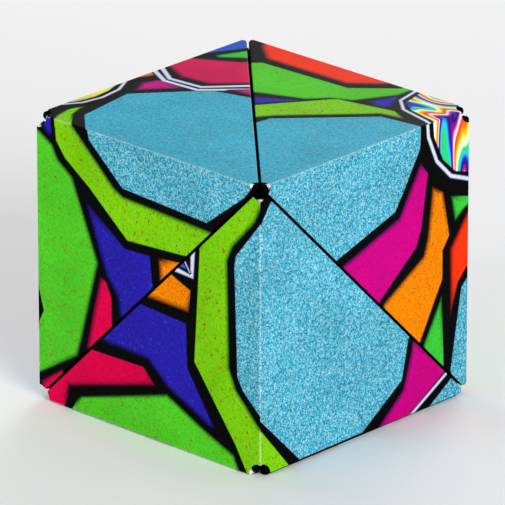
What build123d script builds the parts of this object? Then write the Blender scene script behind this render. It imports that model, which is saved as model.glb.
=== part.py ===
from build123d import *
import os

# A shape-shifting magnetic puzzle cube: twelve equal tetrahedral cells in one ring, joined by folds of film.
# +Z is up, the cube rests on z = 0 and is centred on the Z axis. All sizes are in millimetres.

# Driving dimensions
edge = 57.0  # cube edge
crease_rise = 0.05  # the folds turn about lines this far outside the flat faces
film_gap = 0.2  # from a cell's film to the plane it shares with its neighbour
film = 0.35  # film thickness
wall = 1.6  # moulded wall of a core, and the lid's thickness
relief_radius = 2.8  # round relief in the film where folds meet
tip_radius = 1.3  # smaller relief where a film only comes to a tip
core_blunt = 3.6  # how far a core stops short of the cell's sharp corners
rim_height = 2.0  # locating rim under a lid
rim_wall = 1.0
rim_clearance = 0.1
magnet_radius = 4.0
magnet_height = 2.5
pocket_clearance = 0.1
pocket_wall = 1.2
fold_radius = 0.18  # rounded fold of film along a hinge

half = edge / 2
reach = half + crease_rise
core_inset = film_gap + film
cavity_inset = core_inset + wall
film_depth = crease_rise
plate_depth = film_depth + film
lid_depth = plate_depth + wall

# Corners of the cube that the folds lie on, and its centre, by name
corners = {
    "near_top": Vector(reach, -reach, half + reach),
    "left_top": Vector(-reach, -reach, half + reach),
    "right_top": Vector(reach, reach, half + reach),
    "far_top": Vector(-reach, reach, half + reach),
    "near_base": Vector(reach, -reach, half - reach),
    "left_base": Vector(-reach, -reach, half - reach),
    "right_base": Vector(reach, reach, half - reach),
    "far_base": Vector(-reach, reach, half - reach),
    "centre": Vector(0, 0, half),
}

# Each cell is half of one cube face with its apex at the centre: right-angle corner, then the two ends of the
# face's diagonal. They are listed in the order of the ring.
cells = {
    "front_upper": ("left_top", "near_top", "left_base"),
    "top_left": ("left_top", "near_top", "far_top"),
    "top_right": ("right_top", "near_top", "far_top"),
    "side_upper": ("right_top", "near_top", "right_base"),
    "side_lower": ("near_base", "near_top", "right_base"),
    "front_lower": ("near_base", "near_top", "left_base"),
    "base_front": ("left_base", "near_base", "far_base"),
    "base_back": ("right_base", "near_base", "far_base"),
    "back_lower": ("right_base", "right_top", "far_base"),
    "back_upper": ("far_top", "right_top", "far_base"),
    "left_upper": ("far_top", "left_top", "far_base"),
    "left_lower": ("left_base", "left_top", "far_base"),
}

# The edge that each cell turns about against the next one in the ring
folds = {
    ("front_upper", "top_left"): ("near_top", "left_top"),
    ("top_left", "top_right"): ("far_top", "centre"),
    ("top_right", "side_upper"): ("near_top", "right_top"),
    ("side_upper", "side_lower"): ("right_base", "centre"),
    ("side_lower", "front_lower"): ("near_top", "near_base"),
    ("front_lower", "base_front"): ("near_base", "left_base"),
    ("base_front", "base_back"): ("near_base", "centre"),
    ("base_back", "back_lower"): ("far_base", "right_base"),
    ("back_lower", "back_upper"): ("right_top", "centre"),
    ("back_upper", "left_upper"): ("far_base", "far_top"),
    ("left_upper", "left_lower"): ("left_top", "centre"),
    ("left_lower", "front_upper"): ("left_top", "left_base"),
}


def face_plane(points, inside):
    """The plane through three points, with its normal away from the point inside."""
    first, second, third = points
    normal = (second - first).cross(third - first)
    if normal.dot(inside - first) > 0:
        normal = normal * -1
    return Plane(origin=(first + second + third) * (1 / 3), x_dir=second - first, z_dir=normal)


def cell_frame(name):
    """A cell's corner points, its outer plane and its three inner planes, all facing outwards."""
    points = [corners[key] for key in cells[name]]
    apex = corners["centre"]
    middle = (points[0] + points[1] + points[2] + apex) * 0.25
    outer = face_plane(points, middle)
    pairs = [(0, 1), (0, 2), (1, 2)]
    inner = [face_plane([points[a], points[b], apex], middle) for a, b in pairs]
    return points, apex, middle, outer, inner


def wedge(name, depth, inset, height):
    """The cell's tetrahedron, cut off depth under its outer face, inset from its inner faces, height deep."""
    points, _, _, outer, inner = cell_frame(name)
    base = outer.offset(-depth)
    outline = [outer.to_local_coords(point) for point in points]
    with BuildPart() as body:
        with BuildSketch(base):
            with BuildLine():
                Polyline([(point.X, point.Y) for point in outline], close=True)
            make_face()
        extrude(amount=-height)
        for plane in inner:
            split(bisect_by=plane.offset(-inset), keep=Keep.BOTTOM)
    return body.part


def inner_circle(points):
    """The middle of the circle that touches a triangle's three sides."""
    first, second, third = points
    weights = [(third - second).length, (third - first).length, (second - first).length]
    total = first * weights[0] + second * weights[1] + third * weights[2]
    return total * (1 / sum(weights))


def magnet_planes(name, depth):
    """Planes depth inside each inner face, centred where that face has most room."""
    points, apex, middle, _, _ = cell_frame(name)
    planes = []
    for a, b in [(0, 1), (0, 2), (1, 2)]:
        face_points = [points[a], points[b], apex]
        side = face_plane(face_points, middle)
        planes.append(Plane(inner_circle(face_points), x_dir=side.x_dir, z_dir=side.z_dir).offset(-depth))
    return planes


def make_core(name):
    """A hollow moulded shell, open under its lid, with a pocket for a magnet behind each inner face."""
    points, apex, middle, _, _ = cell_frame(name)
    cavity = wedge(name, lid_depth, cavity_inset, half)
    outside = wedge(name, lid_depth, core_inset, half)
    with BuildPart() as core:
        add(outside)
        add(cavity, mode=Mode.SUBTRACT)
        for plane in magnet_planes(name, cavity_inset):
            with BuildSketch(plane):
                Circle(magnet_radius + pocket_clearance + pocket_wall)
                Circle(magnet_radius + pocket_clearance, mode=Mode.SUBTRACT)
            extrude(amount=-magnet_height)
        for point in points + [apex]:
            inward = (middle - point).normalized()
            cut = Plane(origin=point + inward * core_blunt, z_dir=inward * -1)
            split(bisect_by=cut, keep=Keep.BOTTOM)
    core.part.label = f"{name}_core"
    return core


def make_lid(name):
    """The plate that closes a core at its outer face, with a rim that drops inside the core."""
    points, _, middle, _, _ = cell_frame(name)
    plate = wedge(name, plate_depth, core_inset, wall)
    rim = wedge(name, lid_depth, cavity_inset + rim_clearance, rim_height)
    rim_hollow = wedge(name, lid_depth, cavity_inset + rim_clearance + rim_wall, rim_height)
    with BuildPart() as lid:
        add(rim)
        add(rim_hollow, mode=Mode.SUBTRACT)
        add(plate)
        for point in points:
            inward = (middle - point).normalized()
            cut = Plane(origin=point + inward * core_blunt, z_dir=inward * -1)
            split(bisect_by=cut, keep=Keep.BOTTOM)
    lid.part.label = f"{name}_lid"
    return lid


def make_magnets(name):
    """The three disc magnets of a cell, one behind each inner face."""
    with BuildPart() as magnets:
        for plane in magnet_planes(name, cavity_inset):
            with BuildSketch(plane):
                Circle(magnet_radius)
            extrude(amount=-magnet_height)
    magnets.part.label = f"{name}_magnets"
    return magnets


def make_film(name):
    """The printed film over all four faces of a cell, relieved at each corner."""
    outside = wedge(name, film_depth, film_gap, half)
    inside = wedge(name, plate_depth, core_inset, half)
    creases = [ends for pair, ends in folds.items() if name in pair and "centre" not in ends]
    relieved = {"centre"}.union(*creases)
    with BuildPart() as skin:
        add(outside)
        add(inside, mode=Mode.SUBTRACT)
        for key in cells[name] + ("centre",):
            with Locations(corners[key]):
                Sphere(relief_radius if key in relieved else tip_radius, mode=Mode.SUBTRACT)
    skin.part.label = f"{name}_film"
    return skin


def make_fold(pair, ends):
    """The rounded fold of film that joins two cells, trimmed flush with the cube and short of its corners."""
    first, second = (corners[key] for key in ends)
    along = (second - first).normalized()
    length = (second - first).length - 2 * relief_radius
    with BuildPart() as fold:
        with BuildSketch(Plane(origin=first + along * relief_radius, z_dir=along)):
            Circle(fold_radius)
        extrude(amount=length)
        with Locations((0, 0, half)):
            Box(edge, edge, edge, mode=Mode.INTERSECT)
    fold.part.label = f"fold_{pair[0]}_{pair[1]}"
    return fold


os.makedirs("parts", exist_ok=True)

for cell in cells:
    for piece in (make_core(cell), make_lid(cell), make_magnets(cell), make_film(cell)):
        export_step(piece.part, f"parts/{piece.part.label}.step")

for pair, ends in folds.items():
    piece = make_fold(pair, ends)
    export_step(piece.part, f"parts/{piece.part.label}.step")
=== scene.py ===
import math
import random

import bmesh
import bpy
from mathutils import Matrix, Vector
from mathutils.geometry import delaunay_2d_cdt


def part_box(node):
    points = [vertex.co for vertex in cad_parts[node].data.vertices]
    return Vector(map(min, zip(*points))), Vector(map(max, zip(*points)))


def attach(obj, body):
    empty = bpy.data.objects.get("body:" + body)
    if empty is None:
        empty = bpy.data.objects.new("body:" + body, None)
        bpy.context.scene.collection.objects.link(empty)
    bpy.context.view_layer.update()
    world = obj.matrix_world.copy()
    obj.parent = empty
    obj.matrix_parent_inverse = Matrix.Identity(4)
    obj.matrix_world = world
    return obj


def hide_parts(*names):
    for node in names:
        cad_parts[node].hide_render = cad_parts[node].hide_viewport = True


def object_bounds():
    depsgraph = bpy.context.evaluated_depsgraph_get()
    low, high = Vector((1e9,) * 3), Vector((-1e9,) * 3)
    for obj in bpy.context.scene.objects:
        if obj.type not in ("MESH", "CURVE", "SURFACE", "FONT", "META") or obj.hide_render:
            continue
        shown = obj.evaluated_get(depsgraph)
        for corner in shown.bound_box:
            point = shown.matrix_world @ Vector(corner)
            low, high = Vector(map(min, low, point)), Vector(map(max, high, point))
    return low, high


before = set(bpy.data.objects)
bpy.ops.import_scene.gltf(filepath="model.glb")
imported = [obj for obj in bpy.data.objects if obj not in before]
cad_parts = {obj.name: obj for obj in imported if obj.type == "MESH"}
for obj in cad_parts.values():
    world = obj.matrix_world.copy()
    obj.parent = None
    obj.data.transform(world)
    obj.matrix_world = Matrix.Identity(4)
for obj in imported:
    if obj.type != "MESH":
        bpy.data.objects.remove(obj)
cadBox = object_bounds()
print("frame loaded,", len(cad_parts), "nodes")

mm = 0.001
edge = (cadBox[1] - cadBox[0]).x
half = edge / 2

# corners of the cube, its centre, and the cells of the ring: right-angle corner, then the ends of the cut
corner = {
    "near_top": Vector((half, -half, edge)),
    "left_top": Vector((-half, -half, edge)),
    "right_top": Vector((half, half, edge)),
    "far_top": Vector((-half, half, edge)),
    "near_base": Vector((half, -half, 0)),
    "left_base": Vector((-half, -half, 0)),
    "right_base": Vector((half, half, 0)),
    "far_base": Vector((-half, half, 0)),
    "centre": Vector((0, 0, half)),
}
ringCells = {
    "front_upper": ("left_top", "near_top", "left_base"),
    "top_left": ("left_top", "near_top", "far_top"),
    "top_right": ("right_top", "near_top", "far_top"),
    "side_upper": ("right_top", "near_top", "right_base"),
    "side_lower": ("near_base", "near_top", "right_base"),
    "front_lower": ("near_base", "near_top", "left_base"),
    "base_front": ("left_base", "near_base", "far_base"),
    "base_back": ("right_base", "near_base", "far_base"),
    "back_lower": ("right_base", "right_top", "far_base"),
    "back_upper": ("far_top", "right_top", "far_base"),
    "left_upper": ("far_top", "left_top", "far_base"),
    "left_lower": ("left_base", "left_top", "far_base"),
}
# cube edges where the film runs on from one cell to the next
creases = [
    {"near_top", "left_top"},
    {"near_top", "right_top"},
    {"near_top", "near_base"},
    {"near_base", "left_base"},
    {"far_base", "right_base"},
    {"far_base", "far_top"},
    {"left_top", "left_base"},
]
# each cube face's own corner, and the directions of its two sides
faceAxes = {
    "front": ("left_base", Vector((1, 0, 0)), Vector((0, 0, 1))),
    "side": ("near_base", Vector((0, 1, 0)), Vector((0, 0, 1))),
    "top": ("left_top", Vector((1, 0, 0)), Vector((0, 1, 0))),
    "base": ("left_base", Vector((1, 0, 0)), Vector((0, 1, 0))),
    "back": ("far_base", Vector((1, 0, 0)), Vector((0, 0, 1))),
    "left": ("left_base", Vector((0, 1, 0)), Vector((0, 0, 1))),
}

film = {
    "gap": 0.2,  # lengths are in millimetres: from the film to the plane shared with the next cell
    "thick": 0.35,
    "roll": 0.36,  # width of the rounded edge
    "relief": 2.8,  # radius of the round bites at the fold corners
    "tip": 2.2,  # how far back a rounded tip starts, on the outside and on the inside
    "underTip": 0.8,
    "arcSteps": 9,
    "bulge": 0.17,  # inner faces swell towards each other
    "bulgeRun": 4.0,
    "creaseGap": 0.005,  # from the outer film to the line of its crease, and from the inner film
    "lipDepth": 0.1,
    "topGrainForLight": 0.6,  # painted light: the top's grain is weaker, for the way the light falls across the top at a graze
    "creaseHighlight": 0.34,  # painted highlight along each outer crease: how pale the print gets along a fold, and the tone that it pales to
    "highlightTone": 0.9,
    "edgeGlow": 1.4,  # how soon a shape's edge glow gives way to its own colour
    "glintSteps": 2,  # parts of a bite's rim next to a fold that are painted pale in the film's core colour, a painted glint at the crease end
    "border": (0.9, 1.8),  # inner faces stay black up to here, then reach full colour
}


def linear(code):
    # "rrggbb" as seen on a screen, to the light values that Blender mixes
    parts = [int(code[i : i + 2], 16) / 255 for i in (0, 2, 4)]
    return tuple(p / 12.92 if p <= 0.04045 else ((p + 0.055) / 1.055) ** 2.4 for p in parts)


# print colours: the colour, its specks, the glow at its edge, how strong its grain is, how many specks it has
inks = {
    "sky": (linear("3fb2cf"), linear("c0b070"), linear("3fb2cf"), 1.0, 0.35),
    "lime": (linear("80d30e"), linear("9c3c10"), linear("1fae12"), 0.32, 1.0),
    "grass": (linear("54d028"), linear("96500f"), linear("16a01a"), 0.3, 0.85),
    "leaf": (linear("3ccc3c"), linear("2f8a20"), linear("148a26"), 0.3, 0.4),
    "indigo": (linear("2b20b0"), linear("2c5cd0"), linear("0e0850"), 0.5, 0.4),
    "royal": (linear("2c5ecc"), linear("22388a"), linear("1c2a80"), 0.4, 0.3),
    "crimson": (linear("e6004a"), linear("b30a48"), linear("5c0650"), 0.22, 0.2),
    "rose": (linear("d8105a"), linear("a01050"), linear("8a1050"), 0.25, 0.3),
    "magenta": (linear("d00084"), linear("8c0d78"), linear("3a1090"), 0.25, 0.3),
    "orange": (linear("ff8c00"), linear("e0501a"), linear("a04400"), 0.45, 0.8),
    "flame": (linear("ff360c"), linear("d92c18"), linear("a01208"), 0.1, 0.1),
    "yellow": (linear("fbf45c"), linear("e0c040"), linear("fffff0"), 0.1, 0.1),
    "ice": (linear("e2eaff"), linear("b4c4e4"), linear("3a48c0"), 0.1, 0.0),
    "rainbow": (linear("ffffff"), linear("ffffff"), linear("202040"), 0.0, 0.0),
    # cut: the film's pale cut edge; its pale colour shows only as the painted glints at crease ends and fold
    # ends
    "cut": (linear("f2f2ee"), linear("b0b0b0"), linear("f2f2ee"), 0.2, 0.0),
}
# how the edge of a shape fades into the black, in millimetres: on its soft sides, and on all others
crisp = {"soft": 0.2, "hard": 0.2, "loops": (0.2,), "swell": 0.0, "inks": ["sky", "rainbow", "royal"]}
stroke = {"soft": 0.5, "hard": 0.5, "loops": (0.15, 0.3, 0.5), "swell": 0.0, "inks": ["ice"]}
greens = ["lime", "grass", "leaf"]
leaning = {"soft": 1.3, "hard": 0.22, "loops": (0.22, 0.7, 1.3), "swell": 0.65, "inks": greens}
soft = {"soft": 1.7, "hard": 0.35, "loops": (0.3, 0.9, 1.7), "swell": 0.5, "inks": []}


def edgeStyle(name):
    return next((style for style in (crisp, stroke, leaning) if name in style["inks"]), soft)


def band(points, width):
    # a thin shape of even width along a line of points
    left, right = [], []
    for i, p in enumerate(points):
        a = Vector(points[max(i - 1, 0)])
        b = Vector(points[min(i + 1, len(points) - 1)])
        side = (b - a).normalized().orthogonal() * (width / 2)
        left.append(tuple(Vector(p) + side))
        right.append(tuple(Vector(p) - side))
    return left + right[::-1]


# shapes printed on the cells in view, in shares of the cube face, drawn a little past the cell's own edges
printShapes = {
    "front_upper": [
        ("sky", [(0.23, 1.05), (0.25, 0.97), (0.4, 0.842), (0.775, 0.822), (0.94, 0.95), (1.02, 1.05)]),
        ("lime", [(0.085, 1.05), (0.1, 0.93), (0.14, 0.88), (0.25, 0.805), (0.42, 0.667), (0.69, 0.685),
                  (0.75, 0.7), (0.82, 0.785), (0.785, 0.792), (0.4, 0.81), (0.36, 0.83), (0.17, 1.0),
                  (0.17, 1.05)]),
        ("grass", [(-0.05, 0.96), (0.0, 0.955), (0.08, 0.91), (0.105, 0.865), (0.17, 0.82), (0.283, 0.555),
                   (0.2, 0.25), (0.183, 0.2), (0.0, 0.09), (-0.05, 0.09), (-0.05, 0.24), (0.0, 0.25),
                   (0.035, 0.32), (0.012, 0.4), (0.0, 0.45), (-0.05, 0.45)]),
        ("indigo", [(0.228, 0.77), (0.41, 0.64), (0.525, 0.645), (0.54, 0.5), (0.39, 0.35), (0.375, 0.46),
                    (0.325, 0.52), (0.3, 0.58)]),
        ("orange", [(0.562, 0.647), (0.665, 0.658), (0.62, 0.56), (0.57, 0.53)]),
        ("crimson", [(0.3, 0.515), (0.325, 0.5), (0.35, 0.45), (0.352, 0.33), (0.24, 0.21), (0.235, 0.25),
                     (0.265, 0.38)]),
        ("indigo", [(0.02, 0.985), (0.06, 0.945), (0.09, 0.935), (0.07, 1.05), (0.03, 1.05)]),
        ("crimson", [(0.02, 0.07), (0.12, 0.137), (0.13, 0.1), (0.04, 0.01)]),
    ],
    "front_lower": [
        ("sky", [(1.05, 0.935), (1.016, 0.89), (0.902, 0.745), (0.895, 0.71), (0.908, 0.33), (0.935, 0.285),
                 (1.05, 0.185)]),
        ("lime", [(0.97, 1.02), (1.04, 1.03), (1.0, 0.92), (0.98, 0.88), (0.885, 0.775), (0.86, 0.72),
                  (0.868, 0.35), (0.9, 0.28), (1.05, 0.13), (1.05, -0.05), (0.985, -0.05), (0.9, 0.09),
                  (0.717, 0.33), (0.742, 0.72), (0.74, 0.78)]),
        ("ice", band([(0.62, 0.63), (0.709, 0.621), (0.714, 0.73)], 0.028)),
        ("ice", band([(0.703, 0.628), (0.668, 0.68)], 0.014)),
        ("royal", [(0.645, 0.64), (0.668, 0.664), (0.69, 0.64)]),
        ("orange", [(0.585, 0.62), (0.705, 0.573), (0.7, 0.495), (0.5, 0.498), (0.47, 0.51)]),
        ("indigo", [(0.43, 0.47), (0.685, 0.455), (0.69, 0.3), (0.82, 0.12), (0.78, 0.125), (0.6, 0.205),
                    (0.51, 0.28), (0.3, 0.287), (0.27, 0.3)]),
        ("crimson", [(0.22, 0.245), (0.49, 0.25), (0.55, 0.2), (0.16, 0.09), (0.11, -0.05), (-0.05, -0.05),
                     (-0.05, 0.03)]),
        ("grass", [(0.15, -0.05), (0.155, 0.0), (0.195, 0.057), (0.59, 0.178), (0.75, 0.105), (0.89, 0.05),
                   (0.94, -0.05)]),
    ],
    "side_lower": [
        ("sky", [(-0.05, 0.81), (0.017, 0.879), (0.062, 0.945), (0.1, 0.94), (0.735, 0.3), (0.72, 0.28),
                 (0.69, 0.145), (0.5, 0.018), (0.2, 0.015), (-0.05, 0.27)]),
        ("lime", [(-0.05, 0.245), (0.0, 0.195), (0.17, -0.01), (0.17, -0.05), (-0.05, -0.05)]),
        ("magenta", [(0.745, 0.285), (0.92, 0.125), (0.73, 0.012), (0.66, -0.05), (0.5, -0.05), (0.56, 0.0),
                     (0.695, 0.11), (0.73, 0.22)]),
        ("ice", band([(0.7, -0.01), (0.93, 0.118)], 0.02)),
        ("sky", [(0.8, -0.05), (0.82, 0.01), (0.935, 0.085), (1.0, 0.03), (1.05, -0.05)]),
    ],
    "side_upper": [
        ("sky", [(0.04, 0.93), (0.04, 1.05), (0.775, 1.05), (0.77, 0.93), (0.69, 0.8), (0.65, 0.742),
                 (0.375, 0.655), (0.35, 0.62)]),
        ("magenta", [(0.4, 0.627), (0.67, 0.717), (0.775, 0.885), (0.81, 0.835), (0.78, 0.65), (0.755, 0.59),
                     (0.585, 0.455), (0.57, 0.4), (0.38, 0.59)]),
        ("orange", [(0.6, 0.44), (0.79, 0.55), (0.81, 0.61), (0.832, 0.785), (0.885, 0.748), (0.917, 0.59),
                    (0.885, 0.545), (0.885, 0.445), (0.785, 0.265), (0.76, 0.22), (0.58, 0.4)]),
        ("leaf", [(0.8, 0.24), (0.885, 0.385), (0.895, 0.14), (0.88, 0.1), (0.79, 0.19)]),
        ("leaf", [(0.925, 0.728), (1.05, 0.69), (1.0, 0.67), (0.948, 0.63)]),
        ("flame", [(1.05, 0.69), (1.0, 0.645), (0.92, 0.54), (0.925, 0.29), (0.96, 0.41), (1.0, 0.452),
                   (1.05, 0.46)]),
        ("sky", [(1.05, 0.44), (1.0, 0.415), (0.975, 0.39), (0.925, 0.11), (0.96, 0.03), (1.05, 0.03)]),
        ("ice", band([(0.8, 1.05), (0.808, 0.96), (0.85, 0.865), (0.92, 0.795), (1.05, 0.745)], 0.022)),
        ("rainbow", [(0.825, 1.05), (0.835, 0.95), (0.88, 0.86), (0.94, 0.805), (1.05, 0.77), (1.05, 1.05)]),
    ],
    "top_left": [
        ("sky", [(0.082, 0.35), (0.26, 0.56), (0.4, 0.6), (0.44, 0.6), (0.98, 0.06), (0.93, -0.05),
                 (0.23, -0.05), (0.235, 0.0), (0.12, 0.11)]),
        ("lime", [(0.065, 0.17), (0.045, 0.12), (0.06, 0.05), (0.085, 0.0), (0.085, -0.05), (0.17, -0.05),
                  (0.17, 0.0), (0.085, 0.1), (0.07, 0.14)]),
        ("indigo", [(-0.05, 0.1), (0.0, 0.08), (0.03, 0.04), (0.06, -0.05), (-0.05, -0.05)]),
        ("yellow", [(-0.05, 0.4), (0.0, 0.385), (0.02, 0.33), (0.028, 0.26), (0.02, 0.19), (0.0, 0.16),
                    (-0.05, 0.15)]),
        ("ice", band([(-0.05, 0.47), (0.0, 0.425), (0.035, 0.36), (0.048, 0.27), (0.035, 0.19), (0.0, 0.135),
                      (-0.05, 0.12)], 0.02)),
        ("orange", [(-0.05, 0.56), (0.0, 0.555), (0.025, 0.54), (0.02, 0.505), (0.0, 0.485), (-0.05, 0.48)]),
        ("magenta", [(0.042, 0.46), (0.065, 0.515), (0.185, 0.52), (0.08, 0.39)]),
        ("ice", band([(-0.05, 0.645), (0.0, 0.602), (0.085, 0.548), (0.215, 0.56), (0.335, 0.69)], 0.026)),
        ("ice", band([(-0.05, 0.6), (0.0, 0.567), (0.085, 0.522), (0.225, 0.532), (0.355, 0.66)], 0.026)),
        ("rose", [(-0.05, 0.66), (0.0, 0.63), (0.1, 0.585), (0.215, 0.6), (0.305, 0.69), (0.34, 0.72),
                  (0.17, 0.88), (0.15, 0.835), (0.0, 0.74), (-0.05, 0.71)]),
        ("magenta", [(0.3, 0.605), (0.35, 0.66), (0.4, 0.66), (0.4, 0.62), (0.385, 0.615)]),
        ("leaf", [(0.035, 0.82), (0.085, 0.915), (0.1, 0.94), (0.15, 0.89), (0.135, 0.87), (0.06, 0.81)]),
        ("royal", [(-0.05, 0.78), (0.0, 0.8), (0.065, 0.93), (0.06, 1.0), (-0.05, 1.05)]),
    ],
    "top_right": [
        ("flame", [(0.06, 1.05), (0.085, 0.985), (0.185, 0.905), (0.54, 0.91), (0.64, 0.995), (0.66, 1.05)]),
        ("grass", [(0.15, 0.82), (0.2, 0.87), (0.57, 0.885), (0.7, 1.0), (0.71, 1.05), (0.735, 1.05),
                   (0.735, 0.95), (0.66, 0.81), (0.59, 0.775), (0.54, 0.715), (0.37, 0.645), (0.33, 0.64)]),
        ("indigo", [(0.7, 0.835), (0.735, 0.93), (0.75, 0.935), (0.795, 0.85), (0.79, 0.835), (0.75, 0.82)]),
        ("indigo", [(0.4, 0.61), (0.53, 0.695), (0.54, 0.685), (0.455, 0.565), (0.44, 0.53), (0.39, 0.58)]),
        ("lime", [(0.46, 0.56), (0.6, 0.765), (0.62, 0.785), (0.83, 0.828), (0.9, 0.8), (0.81, 0.78),
                  (0.57, 0.53), (0.535, 0.475), (0.51, 0.46), (0.44, 0.53)]),
        ("sky", [(0.575, 0.45), (0.58, 0.5), (0.83, 0.76), (0.975, 0.78), (1.05, 0.77), (1.05, 0.03),
                 (0.95, 0.02), (0.56, 0.41)]),
        ("ice", band([(0.745, 1.05), (0.775, 0.915), (0.84, 0.858), (0.96, 0.83), (1.05, 0.8)], 0.021)),
        ("rainbow", [(0.765, 1.05), (0.8, 0.91), (0.86, 0.87), (0.97, 0.845), (1.05, 0.82), (1.05, 1.05)]),
    ],
}

# moves the whole print of a face, in shares of the face, as judged
printShift = {"front": (-0.01, -0.005), "side": (-0.015, -0.005), "top": (0.01, -0.02)}

# the way that soft sides face, for the greens and for the other colours
softSide = {
    "front": {"greens": (1.0, 0.45), "others": (-0.8, -0.6)},
    "side": {"greens": (-1.0, -0.3), "others": (-0.9, 0.45)},
    "top": {"greens": (0.3, -1.0), "others": (-0.4, -0.9)},
    "hidden": {"greens": (0.8, 0.6), "others": (-0.8, -0.6)},
}

# broken-glass pattern of the faces out of view and of the faces inside
shards = {
    "seed": 41,
    "faceCount": 15,
    "innerCount": 8,
    "line": 0.62,  # half the black line, in millimetres
    "slant": math.radians(38),
    "stretch": 1.75,  # the pieces are drawn out along the slant
    "spread": 0.62,  # how evenly the middles of the pieces lie
    "overlap": 0.02,  # the share that may lie closer
    "reach": 0.72,  # how far past the face the pattern runs
    "crowd": 2.2,  # middles laid out for each piece wanted
    "margin": 2,  # past the edge of a face, in millimetres
    "colours": [
        "sky", "lime", "grass", "indigo", "magenta", "crimson", "orange", "flame", "royal", "sky", "leaf",
    ],
}


def keepSide(points, middle, direction):
    # the part of a convex shape behind the line through middle, square to direction
    kept = []
    for i, b in enumerate(points):
        a = points[i - 1]
        da = (a - middle).dot(direction)
        db = (b - middle).dot(direction)
        if (da > 0) != (db > 0):
            kept.append(a.lerp(b, da / (da - db)))
        if db <= 0:
            kept.append(b)
    return kept


def glassShapes(seed, low, high, count):
    # cells around random points, each drawn back from its neighbours by half a line, then drawn out
    rng = random.Random(seed)
    turn = Matrix.Rotation(shards["slant"] * rng.choice((1, -1)), 2)
    pull = turn @ Matrix(((shards["stretch"], 0), (0, 1 / shards["stretch"]))) @ turn.transposed()
    middle = (low + high) / 2
    size = (high - low).length * shards["reach"] * shards["stretch"] ** 0.5
    wanted = count * shards["stretch"] * shards["crowd"]
    points = []
    while len(points) < wanted:
        p = Vector((rng.uniform(-size, size), rng.uniform(-size, size)))
        spread = size * 2 / wanted**0.5 * shards["spread"]
        if all((p - q).length > spread for q in points) or rng.random() < shards["overlap"]:
            points.append(p)
    frameLoop = [Vector((x, y)) * size for x, y in ((-1, -1), (1, -1), (1, 1), (-1, 1))]
    shapes = []
    last = None
    for p in points:
        loop = frameLoop
        for q in points:
            if q is not p:
                direction = (q - p).normalized()
                loop = keepSide(loop, (p + q) / 2 - direction * shards["line"], direction)
        colour = rng.choice([c for c in shards["colours"] if c != last])
        last = colour
        loop = [middle + pull @ q for q in loop]
        near = all(min(q[k] for q in loop) < high[k] and max(q[k] for q in loop) > low[k] for k in (0, 1))
        if len(loop) > 2 and near:
            shapes.append((colour, loop))
    return shapes


def area(points):
    return sum(points[i - 1].cross(p) for i, p in enumerate(points)) / 2


def softStep(x):
    x = max(0.0, min(1.0, x))
    return x * x * (3 - 2 * x)


def facing(points, i, lean):
    # 1 where the side that ends at point i faces the soft way, 0 where it faces away
    run = points[i] - points[i - 1]
    if run.length < 1e-6:
        return 0.0
    return softStep(Vector((run.y, -run.x)).normalized().dot(lean) + 0.5)


def moveSides(points, distances):
    # the same loop with each side moved inwards by its own distance
    loop = []
    for i, p in enumerate(points):
        after = (i + 1) % len(points)
        n1 = (p - points[i - 1]).normalized()
        n2 = (points[after] - p).normalized()
        n1, n2 = Vector((-n1.y, n1.x)), Vector((-n2.y, n2.x))
        d1, d2 = distances[i], distances[after]
        spread = n1.x * n2.y - n1.y * n2.x
        if abs(spread) > 0.25:
            loop.append(p + Vector((d1 * n2.y - d2 * n1.y, d2 * n1.x - d1 * n2.x)) / spread)
        else:
            loop.append(p + (n1 + n2) * ((d1 + d2) / 2 / max(1 + n1.dot(n2), 0.35)))
    return loop


def inset(points, distance):
    return moveSides(points, [distance] * len(points))


def inkAt(p, points, style, lean):
    # 0 on a shape's outline, 1 well inside
    best = 1e9
    for i, b in enumerate(points):
        a = points[i - 1]
        run = b - a
        if run.length < 1e-6:
            continue
        t = max(0.0, min(1.0, (p - a).dot(run) / run.dot(run)))
        width = style["hard"] + (style["soft"] - style["hard"]) * facing(points, i, lean)
        best = min(best, (p - a - run * t).length / width)
    return softStep(best)


def meetPoint(planes):
    # where three planes (normal, distance) cross
    return Matrix([n for n, d in planes]).inverted() @ Vector([d for n, d in planes])


def arcBetween(centre, a, b, steps):
    # the short way round from a to b
    start = math.atan2(a.y - centre.y, a.x - centre.x)
    turn = math.atan2(b.y - centre.y, b.x - centre.x) - start
    turn = (turn + math.pi) % (2 * math.pi) - math.pi
    radius = (a - centre).length
    angles = [start + turn * i / steps for i in range(steps + 1)]
    return [centre + Vector((math.cos(t), math.sin(t))) * radius for t in angles]


def reachCircle(start, direction, centre, radius):
    # how far along a line a circle's far side is
    off = start - centre
    along = -off.dot(direction)
    return along + math.sqrt(max(radius**2 - off.dot(off) + along**2, 0.0))


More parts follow.
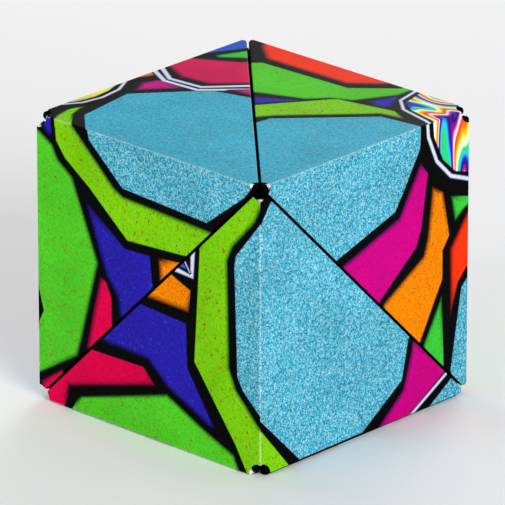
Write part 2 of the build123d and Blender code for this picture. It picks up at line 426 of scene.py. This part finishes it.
class Panel:
    # one face of a cell's film, laid flat in millimetres

    def __init__(self, cell, corners, other, depth=0.0):
        keys = ringCells[cell] + ("centre",)
        spots = {k: corner[k] / mm for k in keys}
        middle = sum(spots.values(), Vector()) / 4
        self.cell = cell
        self.outer = "centre" not in corners
        self.under = depth > 0
        relieved = {"centre"}.union(*[c for c in creases if c <= set(keys)])

        def plane(faceKeys, depth):
            a, b, c = (spots[k] for k in faceKeys)
            n = (b - a).cross(c - a).normalized()
            if n.dot(middle - a) > 0:
                n.negate()
            return n, n.dot(a) - depth

        self.normal, level = plane(corners, depth + (0 if self.outer else film["gap"]))
        a, b, c = (spots[k] for k in corners)
        if (b - a).cross(c - a).dot(self.normal) < 0:
            corners = (corners[0], corners[2], corners[1])
        self.corners = corners
        pairs = [(corners[i], corners[(i + 1) % 3]) for i in range(3)]
        self.creased = [set(pair) in creases for pair in pairs]
        sides = []
        for pair, creased in zip(pairs, self.creased):
            neighbour = pair + (other,)
            room = film["gap"] if self.outer or "centre" in neighbour else 0
            if creased and not self.under:
                room = film["creaseGap"] if self.outer else film["lipDepth"]
            sides.append(plane(neighbour, depth + room))
        here = (self.normal, level)
        self.points3 = [meetPoint([here, sides[i - 1], sides[i]]) for i in range(3)]
        self.origin = self.points3[0]
        self.xDir = (self.points3[1] - self.origin).normalized()
        self.yDir = self.normal.cross(self.xDir)
        self.points = [self.flat(p) for p in self.points3]
        ahead = [self.points[(i + 1) % 3] for i in range(3)]
        self.edges = [(p, (q - p).normalized()) for p, q in zip(self.points, ahead)]
        # in each edge's own directions: into this face, and down the face round the edge
        self.rolls = []
        for i in range(3):
            run = (self.points3[(i + 1) % 3] - self.points3[i]).normalized()
            inward = self.normal.cross(run)
            down = sides[i][0].cross(run)
            if down.dot(middle - self.points3[i]) < 0:
                down.negate()
            if self.creased[i]:
                down = -self.normal if self.outer else None
            self.rolls.append((inward, None if self.under else down))
        self.outline = []
        self.arcs = []
        for i, key in enumerate(corners):
            spot, ahead = self.edges[i]
            back = -self.edges[i - 1][1]
            if key in relieved:
                centre = self.flat(spots[key])
                radius = math.sqrt(film["relief"] ** 2 - (spots[key] - self.origin).dot(self.normal) ** 2)
                a = spot + back * reachCircle(spot, back, centre, radius)
                b = spot + ahead * reachCircle(spot, ahead, centre, radius)
            else:
                start = film["underTip"] if self.under else film["tip"]
                a = spot + back * start
                b = spot + ahead * start
                centre = spot + (back + ahead).normalized() * (start / math.cos(back.angle(ahead) / 2))
            arc = arcBetween(centre, a, b, film["arcSteps"])
            self.outline += arc
            self.arcs.append(arc)

    def flat(self, p):
        return Vector(((p - self.origin).dot(self.xDir), (p - self.origin).dot(self.yDir)))

    def depths(self, p):
        # how far inside each edge a point lies
        return [(p - start).dot(Vector((-run.y, run.x))) for start, run in self.edges]

    def place(self, p):
        # back in the cube, with the edges rolled over and the inner faces swollen
        spot = self.origin + self.xDir * p.x + self.yDir * p.y
        depths = self.depths(p)
        for d, (inward, down) in zip(depths, self.rolls):
            if down is not None and d < film["roll"]:
                s = 0.5 * (1 - max(d, 0.0) / film["roll"])
                spot += inward * (film["roll"] * (1 - s) ** 2 - d) + down * (film["roll"] * s * s)
        if not self.outer and not self.under:
            spot += self.normal * film["bulge"] * softStep((min(depths) - film["roll"]) / film["bulgeRun"])
        return spot * mm

    # painted highlight: the print pales close to each outer crease
    def creaseHighlight(self, p):
        if not self.outer or not any(self.creased):
            return 0.0
        nearest = min(d for d, creased in zip(self.depths(p), self.creased) if creased)
        return film["creaseHighlight"] * (1 - softStep(nearest / film["roll"]))

    def lean(self, which):
        # the way that the print's soft sides face, on this panel
        side = self.cell.split("_")[0]
        if not self.outer or side not in softSide:
            return Vector(softSide["hidden"][which]).normalized()
        across, up = softSide[side][which]
        _, uDir, vDir = faceAxes[side]
        way = uDir * across + vDir * up
        return Vector((way.dot(self.xDir), way.dot(self.yDir))).normalized()

    def shapes(self, seed):
        if not self.outer:
            margin = shards["margin"]
            low = Vector([min(p[i] for p in self.points) - margin for i in (0, 1)])
            high = Vector([max(p[i] for p in self.points) + margin for i in (0, 1)])
            return glassShapes(seed, low, high, shards["innerCount"])
        side = self.cell.split("_")[0]
        start, uDir, vDir = faceAxes[side]
        if self.cell in printShapes:
            across, up = printShift[side]
            drawn = [(name, [(u + across, v + up) for u, v in loop]) for name, loop in printShapes[self.cell]]
            scale = edge / mm
        else:
            margin = Vector((shards["margin"], shards["margin"]))
            far = Vector((edge, edge)) / mm + margin
            faceSeed = shards["seed"] + len(side) * 7 + ord(side[0])
            drawn = glassShapes(faceSeed, -margin, far, shards["faceCount"])
            scale = 1
        return [
            (name, [self.flat(corner[start] / mm + uDir * u * scale + vDir * v * scale) for u, v in loop])
            for name, loop in drawn
        ]


def layFilm(bm, panel, seed):
    # the panel as one flat sheet cut along every printed shape, then put in place
    shapes = []
    leans = {which: panel.lean(which) for which in ("greens", "others")}
    for name, loop in panel.shapes(seed):
        style = edgeStyle(name)
        lean = leans["greens" if style is leaning else "others"]
        loop = [Vector(p) for p in loop]
        if area(loop) < 0:
            loop.reverse()
        swell = [-style["swell"] * facing(loop, i, lean) for i in range(len(loop))]
        shapes.append((name, moveSides(loop, swell), style, lean))
    points, lines, faces = [], [], []

    def addLoop(loop, asFace):
        first = len(points)
        points.extend(loop)
        ids = list(range(first, len(points)))
        if asFace:
            faces.append(ids)
        else:
            lines.extend((ids[i - 1], ids[i]) for i in range(len(ids)))

    addLoop(panel.outline, True)
    for _, loop, _, _ in shapes:
        addLoop(loop, True)
    for _, loop, style, _ in shapes:
        for step in style["loops"]:
            addLoop(inset(loop, step), False)
    for k in (1, 2, 3):
        addLoop(inset(panel.points, film["roll"] * k / 3), False)
    if not panel.outer:
        for reach in film["border"]:
            addLoop(inset(panel.points, reach), False)
        for k in (2, 3):
            addLoop(inset(panel.points, film["roll"] + film["bulgeRun"] * k / 3), False)
    spots, _, tris, _, _, sources = delaunay_2d_cdt(points, lines, faces, 0, 1e-4)
    # painted light: weaker grain on the top cells, for the way light falls across them
    smooth = film["topGrainForLight"] if panel.outer and panel.cell.startswith("top") else 1.0
    verts = {}
    for tri, source in zip(tris, sources):
        if 0 not in source:
            continue
        ids = [i - 1 for i in source if i > 0]
        for i in tri:
            if i not in verts:
                verts[i] = bm.verts.new(panel.place(spots[i]))
        face = bm.faces.new([verts[i] for i in tri])
        name, loop, style, lean = shapes[max(ids)] if ids else ("indigo", None, None, None)
        for i, spot in zip(tri, face.loops):
            ink = 0.0 if loop is None else inkAt(spots[i], loop, style, lean)
            if not panel.outer:
                first, full = film["border"]
                ink *= softStep((min(panel.depths(spots[i])) - first) / (full - first))
            paint(bm, spot, name, ink, panel.creaseHighlight(spots[i]), smooth)


def paint(bm, spot, name, ink, creaseHighlight=0.0, smooth=1.0):
    # the print's colour and amount at one corner of a face, paler along a fold where a highlight is painted
    colour, specks, glow, grain, fleck = inks[name]
    mixed = [g + (c - g) * min(1.0, ink * film["edgeGlow"]) for c, g in zip(colour, glow)]
    mixed = [c + (film["highlightTone"] - c) * creaseHighlight for c in mixed]
    marbled = 1.0 if name == "rainbow" else 0.0
    spot[bm.loops.layers.float_color["print"]] = (*mixed, ink)
    spot[bm.loops.layers.float_color["speck"]] = (*specks, 1.0)
    spot[bm.loops.layers.float_color["finish"]] = (marbled, grain * smooth, fleck, 1.0)


def paintFaces(bm, faces, name, ink):
    for face in faces:
        for spot in face.loops:
            paint(bm, spot, name, ink)


def rimStrip(bm, panel, under, i):
    # the film's cut edge round a corner
    top = [bm.verts.new(panel.place(p)) for p in panel.arcs[i]]
    low = [bm.verts.new(under.place(p)) for p in under.arcs[i]]
    steps = len(top) - 1
    for k in range(steps):
        face = bm.faces.new((top[k + 1], top[k], low[k], low[k + 1]))
        # next to a fold the rim is painted pale, a painted glint at the crease end
        afterCrease = panel.outer and panel.creased[i - 1] and k < film["glintSteps"]
        beforeCrease = panel.outer and panel.creased[i] and k >= steps - film["glintSteps"]
        paintFaces(bm, [face], "cut", 0.9 if afterCrease or beforeCrease else 0.0)


def creaseLip(bm, outerPanel, innerPanels):
    # closes the step between the outer film and the inner one along each crease
    for i in range(3):
        if not outerPanel.creased[i]:
            continue
        pair = {outerPanel.corners[i], outerPanel.corners[(i + 1) % 3]}
        inner = next(p for p in innerPanels if pair <= set(p.corners))
        k = next(k for k in range(3) if {inner.corners[k], inner.corners[(k + 1) % 3]} == pair)
        outEnds = [outerPanel.place(p) for p in (outerPanel.arcs[i][-1], outerPanel.arcs[(i + 1) % 3][0])]
        inEnds = [inner.place(p) for p in (inner.arcs[(k + 1) % 3][0], inner.arcs[k][-1])]
        ring = [bm.verts.new(p) for p in (outEnds[1], outEnds[0], inEnds[0], inEnds[1])]
        face = bm.faces.new(ring)
        face.normal_update()
        if face.normal.dot(inner.normal) < 0:
            bmesh.ops.reverse_faces(bm, faces=[face])
        paintFaces(bm, [face], "indigo", 0.0)


seam = {
    "same": 0.0001,  # in millimetres: points this near are one point anywhere
    "join": 0.002,  # and this near along a seam
    "off": 0.03,  # how far beside an open edge its neighbour's points may lie
    "sliver": 16,  # most sides of a gap that is filled
}


def closeSeams(bm):
    # cuts the panels' open edges at each other's points, joins them, and fills the slivers at crease ends
    bmesh.ops.remove_doubles(bm, verts=bm.verts[:], dist=seam["same"] * mm)
    openEdges = [e for e in bm.edges if e.is_boundary]
    spots = list({v for e in openEdges for v in e.verts})
    for e in openEdges:
        start, end = e.verts
        run = end.co - start.co
        length = run.length
        cuts = []
        for v in spots:
            along = (v.co - start.co).dot(run) / length
            off = (v.co - start.co - run * (along / length)).length
            if seam["join"] * mm < along < length - seam["join"] * mm and off < seam["off"] * mm:
                cuts.append((along, v.co.copy()))
        done = 0.0
        for along, place in sorted(cuts, key=lambda cut: cut[0]):
            if along - done > seam["join"] * mm:
                e, fresh = bmesh.utils.edge_split(e, start, (along - done) / (length - done))
                fresh.co = place
                e = next(x for x in fresh.link_edges if x.other_vert(fresh) is end)
                start, done = fresh, along
    rims = list({v for e in bm.edges if e.is_boundary for v in e.verts})
    bmesh.ops.remove_doubles(bm, verts=rims, dist=seam["join"] * mm)
    filled = bmesh.ops.holes_fill(bm, edges=[e for e in bm.edges if e.is_boundary], sides=seam["sliver"])
    paintFaces(bm, filled["faces"], "indigo", 0.0)


def makeFilm(cell, number):
    a, b, c = ringCells[cell]
    sides = [((a, b, c), "centre"), ((a, b, "centre"), c), ((a, c, "centre"), b), ((b, c, "centre"), a)]
    panels = [Panel(cell, corners, other) for corners, other in sides]
    bm = bmesh.new()
    for layer in ("print", "speck", "finish"):
        bm.loops.layers.float_color.new(layer)
    for k, (panel, (corners, other)) in enumerate(zip(panels, sides)):
        layFilm(bm, panel, shards["seed"] + number * 10 + k)
        under = Panel(cell, corners, other, film["thick"])
        for i in range(3):
            rimStrip(bm, panel, under, i)
        back = bm.faces.new([bm.verts.new(under.place(p)) for p in reversed(under.outline)])
        paintFaces(bm, [back], "indigo", 0.0)
    creaseLip(bm, panels[0], panels[1:])
    closeSeams(bm)
    mesh = bpy.data.meshes.new(cell + "_print")
    bm.to_mesh(mesh)
    bm.free()
    piece = bpy.data.objects.new(cell + "_print", mesh)
    bpy.context.scene.collection.objects.link(piece)
    return piece


class Nodes:
    # a small helper for one material's node tree

    def __init__(self, name):
        self.material = bpy.data.materials.new(name)
        self.material.use_nodes = True
        self.tree = self.material.node_tree
        self.shader = self.tree.nodes["Principled BSDF"]
        self.coords = self.add("ShaderNodeTexCoord").outputs["Object"]

    def add(self, kind, **settings):
        node = self.tree.nodes.new(kind)
        for key, value in settings.items():
            setattr(node, key, value)
        return node

    def link(self, source, target):
        self.tree.links.new(source, target)

    def feed(self, socket, value):
        if hasattr(value, "is_output"):
            self.link(value, socket)
        else:
            socket.default_value = value

    def noise(self, scale, detail=2.0, rough=0.5, stretch=None, turn=None):
        node = self.add("ShaderNodeTexNoise")
        node.inputs["Scale"].default_value = scale
        node.inputs["Detail"].default_value = detail
        node.inputs["Roughness"].default_value = rough
        source = self.coords
        if stretch or turn:
            mapping = self.add("ShaderNodeMapping")
            mapping.inputs["Scale"].default_value = stretch or (1, 1, 1)
            mapping.inputs["Rotation"].default_value = turn or (0, 0, 0)
            self.link(source, mapping.inputs["Vector"])
            source = mapping.outputs["Vector"]
        self.link(source, node.inputs["Vector"])
        return node.outputs["Fac"]

    def ranged(self, value, low, high, toLow=0.0, toHigh=1.0):
        node = self.add("ShaderNodeMapRange")
        self.link(value, node.inputs["Value"])
        node.inputs["From Min"].default_value = low
        node.inputs["From Max"].default_value = high
        node.inputs["To Min"].default_value = toLow
        node.inputs["To Max"].default_value = toHigh
        return node.outputs["Result"]

    def maths(self, operation, a, b=0.5):
        node = self.add("ShaderNodeMath", operation=operation)
        self.feed(node.inputs[0], a)
        self.feed(node.inputs[1], b)
        return node.outputs["Value"]

    def mix(self, factor, a, b, blend="MIX"):
        node = self.add("ShaderNodeMix", data_type="RGBA", blend_type=blend)
        self.feed(node.inputs["Factor"], factor)
        self.feed(node.inputs[6], a)
        self.feed(node.inputs[7], b)
        return node.outputs[2]

    def bump(self, height, strength, distance, normal=None):
        node = self.add("ShaderNodeBump")
        node.inputs["Strength"].default_value = strength
        node.inputs["Distance"].default_value = distance
        self.link(height, node.inputs["Height"])
        if normal is not None:
            self.link(normal, node.inputs["Normal"])
        return node.outputs["Normal"]

    def ramp(self, value, stops):
        node = self.add("ShaderNodeValToRGB")
        ends = node.color_ramp.elements
        while len(ends) < len(stops):
            ends.new(0.5)
        for spot, (place, colour) in zip(ends, stops):
            spot.position = place
            spot.color = (*colour, 1)
        self.link(value, node.inputs["Fac"])
        return node.outputs["Color"]

    def set(self, **values):
        for key, value in values.items():
            self.feed(self.shader.inputs[key.replace("_", " ")], value)


def filmMaterial(name):
    look = {
        "pebble": 3600,  # how fine each noise is
        "mottle": 1400,
        "broad": 95,
        "wave": 55,
        "fleck": 1750,
        "marble": 115,
        "grain": 8.5,  # strength of the pebbles
        "stripes": 7.5,
        "spray": 0.5,  # how ragged the edge into the black is
        "black": (0.001, 0.0009, 0.0014, 1),
        "darkTint": (0.2, 0.38, 0.45, 1),
        "brightTint": (1.3, 1.25, 1.25, 1),
        "paleTint": (0.8, 1, 1, 1),
    }
    m = Nodes(name)
    printed = m.add("ShaderNodeAttribute", attribute_name="print")
    specks = m.add("ShaderNodeAttribute", attribute_name="speck")
    finish = m.add("ShaderNodeAttribute", attribute_name="finish")
    parts = m.add("ShaderNodeSeparateColor")
    m.link(finish.outputs["Color"], parts.inputs["Color"])
    pebble = m.noise(look["pebble"], 2.5, 0.62)
    mottle = m.noise(look["mottle"], 2.0, 0.55)
    broad = m.noise(look["broad"], 2.0, 0.5)
    # grain: lighter and darker pebbles of the same colour, stronger in some inks
    both = m.maths("ADD", m.maths("MULTIPLY", pebble, 0.75), m.maths("MULTIPLY", mottle, 0.25))
    grain = m.maths("MULTIPLY", m.maths("SUBTRACT", both, 0.5), look["grain"])
    grain = m.maths("MULTIPLY", grain, parts.outputs["Green"])
    dark = m.mix(1.0, printed.outputs["Color"], look["darkTint"], "MULTIPLY")
    bright = m.mix(1.0, printed.outputs["Color"], look["brightTint"], "MULTIPLY")
    light = m.mix(m.ranged(parts.outputs["Green"], 0.5, 1.0, 0.0, 0.42), bright, look["paleTint"])
    base = m.mix(m.ranged(grain, 0.0, 1.0), printed.outputs["Color"], light)
    base = m.mix(m.ranged(grain, 0.0, -1.0), base, dark)
    shade = m.ranged(broad, 0.3, 0.7, 0.88, 1.06)
    shadeColour = m.add("ShaderNodeCombineColor")
    for socket in shadeColour.inputs:
        m.link(shade, socket)
    base = m.mix(1.0, base, shadeColour.outputs["Color"], "MULTIPLY")
    # short specks that lie along one slant
    flecks = m.noise(look["fleck"], 1.0, 0.5, (1, 1, 0.75), (0.5, 0.4, 0.7))
    fleckInk = m.maths("MULTIPLY", m.ranged(flecks, 0.645, 0.7), parts.outputs["Blue"])
    base = m.mix(m.maths("MULTIPLY", fleckInk, 0.85), base, specks.outputs["Color"])
    # marbled rainbow, its stripes drawn out along one slant
    marble = m.noise(look["marble"], 1.5, 0.5, (0.3, 1.0, 0.2), (0.12, 0.1, 0.25))
    stripes = m.maths("FRACT", m.maths("MULTIPLY", marble, look["stripes"]))
    wheel = ["e8112a", "ff8a10", "fbf02a", "ffffff", "32d63a", "26d5e6", "2a3ae0", "1a1468", "c812a8"]
    wheel += ["ffffff", "e8112a"]
    rainbow = m.ramp(stripes, [(i / (len(wheel) - 1), linear(c)) for i, c in enumerate(wheel)])
    base = m.mix(parts.outputs["Red"], base, rainbow)
    # the sprayed edge into the black
    spray = m.maths("MULTIPLY", m.maths("SUBTRACT", pebble, 0.5), look["spray"])
    edgeInk = m.maths("ADD", printed.outputs["Alpha"], m.maths("MULTIPLY", spray, printed.outputs["Alpha"]))
    inked = m.ranged(edgeInk, 0.06, 0.95)
    colour = m.mix(inked, look["black"], base)
    rough = m.ranged(pebble, 0.3, 0.7, 0.36, 0.52)
    wave = m.bump(m.noise(look["wave"], 2.0, 0.5), 0.3, 0.0005)
    normal = m.bump(pebble, 0.5, 0.00006, wave)
    m.set(Base_Color=colour, Roughness=rough, Normal=normal, Specular_IOR_Level=0.02)
    return m.material


def plasticMaterial(name, tone, gloss, texture):
    m = Nodes(name)
    flow = m.noise(140, 3.0, 0.5)
    grain = m.noise(texture["scale"], 2.0, 0.6)
    colour = m.mix(m.ranged(flow, 0.3, 0.7), (*tone, 1), (*[t * 2.2 for t in tone], 1))
    scratch = m.noise(900, 2.0, 0.6, (1, 0.04, 1), (0.2, 0.7, 0.4))
    colour = m.mix(m.ranged(scratch, 0.62, 0.7, 0.0, 0.35), colour, (0.05, 0.05, 0.055, 1))
    ground = m.ranged(grain, 0.35, 0.65, gloss, gloss + 0.12)
    rough = m.maths("ADD", ground, m.ranged(scratch, 0.6, 0.7, 0.0, 0.2))
    normal = m.bump(grain, texture["strength"], texture["depth"])
    m.set(Base_Color=colour, Roughness=rough, Normal=normal, Specular_IOR_Level=0.2)
    return m.material


def nickelMaterial():
    m = Nodes("nickel plate")
    brush = m.noise(700, 3.0, 0.6, (1, 1, 0.1))
    haze = m.noise(240, 2.0, 0.5)
    colour = m.mix(m.ranged(haze, 0.3, 0.7), (0.62, 0.6, 0.56, 1), (0.76, 0.75, 0.72, 1))
    rough = m.ranged(brush, 0.3, 0.7, 0.16, 0.32)
    m.set(Base_Color=colour, Roughness=rough, Normal=m.bump(brush, 0.2, 0.00002), Metallic=1.0)
    return m.material


fold = {
    "radius": 0.42,  # in millimetres
    "sink": 0.45,  # its middle, in from both cube faces
    "reach": 0.2,  # how far its ends stand out into the corner bites
    "sides": 20,
    "round": 0.14,
    "strip": 2,  # a strip that is thinner than this in both ways lies square to the cube, on an outer edge
}


def makeFold(name, low, high):
    # the rolled film inside an outer crease, with its ends painted pale in the film's core colour, a painted
    # glint in the corner bites
    size = high - low
    along = max(range(3), key=lambda axis: size[axis])
    middle = (low + high) / 2
    for axis in range(3):
        if axis != along:
            inward = (corner["centre"] - middle)[axis]
            edgeLine = low[axis] if inward > 0 else high[axis]
            middle[axis] = edgeLine + math.copysign(fold["sink"] * mm, inward)
    way = Vector([1.0 if axis == along else 0.0 for axis in range(3)])
    place = Matrix.Translation(middle) @ way.to_track_quat("Z", "Y").to_matrix().to_4x4()
    length = size[along] + 2 * fold["reach"] * mm
    bm = bmesh.new()
    for layer in ("print", "speck", "finish"):
        bm.loops.layers.float_color.new(layer)
    radius = fold["radius"] * mm
    bmesh.ops.create_cone(
        bm, cap_ends=True, segments=fold["sides"], radius1=radius, radius2=radius, depth=length, matrix=place
    )
    caps = [f for f in bm.faces if abs(f.normal.dot(way)) > 0.9]
    rims = {e for f in caps for e in f.edges}
    bmesh.ops.bevel(
        bm, geom=list(rims), offset=fold["round"] * mm, affect="EDGES", segments=2, profile=0.5, material=-1
    )
    paintFaces(bm, bm.faces, "indigo", 0.0)
    # the ends are painted pale, a painted glint where they stand into the corner bites
    paintFaces(bm, [f for f in bm.faces if abs(f.normal.dot(way)) > 0.3], "cut", 1.0)
    mesh = bpy.data.meshes.new(name + "_roll")
    bm.to_mesh(mesh)
    bm.free()
    piece = bpy.data.objects.new(name + "_roll", mesh)
    bpy.context.scene.collection.objects.link(piece)
    return piece


printedFilm = filmMaterial("printed film")
smoothGrain = {"scale": 2200, "strength": 0.15, "depth": 0.00002}
mattGrain = {"scale": 3000, "strength": 0.4, "depth": 0.00004}
corePlastic = plasticMaterial("core plastic", (0.012, 0.012, 0.014), 0.16, smoothGrain)
lidPlastic = plasticMaterial("lid plastic", (0.016, 0.016, 0.018), 0.3, mattGrain)
nickel = nickelMaterial()
foldFilm = filmMaterial("fold film")
finishes = {"core": corePlastic, "lid": lidPlastic, "magnets": nickel}
for name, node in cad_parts.items():
    node.data.materials.clear()
    finish = foldFilm if name.startswith("fold_") else finishes.get(name.rsplit("_", 1)[1], corePlastic)
    node.data.materials.append(finish)
print("materials made")

for number, cell in enumerate(ringCells):
    piece = makeFilm(cell, number)
    piece.data.materials.append(printedFilm)
    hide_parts(cell + "_film")
    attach(piece, cell)
    print("film", cell, len(piece.data.polygons), "faces")

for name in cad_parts:
    if name.startswith("fold_"):
        low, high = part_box(name)
        if sorted(high - low)[1] < fold["strip"] * mm:
            piece = makeFold(name, low, high)
            piece.data.materials.append(foldFilm)
            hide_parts(name)
            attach(piece, next(cell for cell in ringCells if name.startswith("fold_" + cell + "_")))
print("folds rolled")


studio = {
    "azimuth": 43.3,  # the camera's place: degrees round from straight in front, and above the floor
    "elevation": 21.42,
    "distance": 1.3746,
    "angle": 3.923,
    "aim": (-0.00022, 0.0287),  # to the right and up, from the middle of the base
    "floor": 6.0,
    "floorDrop": 0.1,  # in millimetres, so that the base and the floor don't share a plane
    "lightDistance": 1.2,
    "lightSize": 0.7,
    "world": 0.34,
    # each light's azimuth, elevation and power
    "lights": {
        "key light": (72, 24, 9.5),
        "front light": (-12, 20, 3.2),
        "back light": (205, 24, 5.5),
        "left light": (-95, 24, 3.5),
    },
}


def direction(azimuth, elevation):
    a, e = math.radians(azimuth), math.radians(elevation)
    return Vector((math.sin(a) * math.cos(e), -math.cos(a) * math.cos(e), math.sin(e)))


def addCamera():
    camera = bpy.data.objects.new("camera", bpy.data.cameras.new("camera"))
    bpy.context.scene.collection.objects.link(camera)
    towards = direction(studio["azimuth"], studio["elevation"])
    across = Vector((0, 0, 1)).cross(towards).normalized()
    aim = across * studio["aim"][0] + Vector((0, 0, studio["aim"][1]))
    camera.location = aim + towards * studio["distance"]
    camera.rotation_euler = towards.to_track_quat("Z", "Y").to_euler()
    camera.data.angle = math.radians(studio["angle"])
    camera.data.clip_start = 0.01
    bpy.context.scene.camera = camera


def addLight(name, azimuth, elevation, power):
    light = bpy.data.lights.new(name, "AREA")
    light.shape = "DISK"
    light.size = studio["lightSize"]
    light.energy = power
    lamp = bpy.data.objects.new(name, light)
    towards = direction(azimuth, elevation)
    lamp.location = corner["centre"] + towards * studio["lightDistance"]
    lamp.rotation_euler = towards.to_track_quat("Z", "Y").to_euler()
    bpy.context.scene.collection.objects.link(lamp)


def addFloor():
    bm = bmesh.new()
    bmesh.ops.create_grid(bm, x_segments=1, y_segments=1, size=studio["floor"])
    bmesh.ops.translate(bm, verts=bm.verts[:], vec=(0, 0, cadBox[0].z - studio["floorDrop"] * mm))
    mesh = bpy.data.meshes.new("floor")
    bm.to_mesh(mesh)
    bm.free()
    floor = bpy.data.objects.new("floor", mesh)
    bpy.context.scene.collection.objects.link(floor)
    m = Nodes("floor paper")
    tone = m.ranged(m.noise(3.0), 0.3, 0.7, 0.93, 0.96)
    colour = m.add("ShaderNodeCombineColor")
    for socket in colour.inputs:
        m.link(tone, socket)
    m.set(Base_Color=colour.outputs["Color"], Roughness=0.9, Specular_IOR_Level=0.1)
    mesh.materials.append(m.material)


addCamera()
addFloor()
for name, (azimuth, elevation, power) in studio["lights"].items():
    addLight(name, azimuth, elevation, power)
world = bpy.data.worlds.new("studio")
world.use_nodes = True
world.node_tree.nodes["Background"].inputs["Color"].default_value = (1, 1, 1, 1)
world.node_tree.nodes["Background"].inputs["Strength"].default_value = studio["world"]
bpy.context.scene.world = world
bpy.context.scene.view_settings.view_transform = "Standard"
print("studio set")
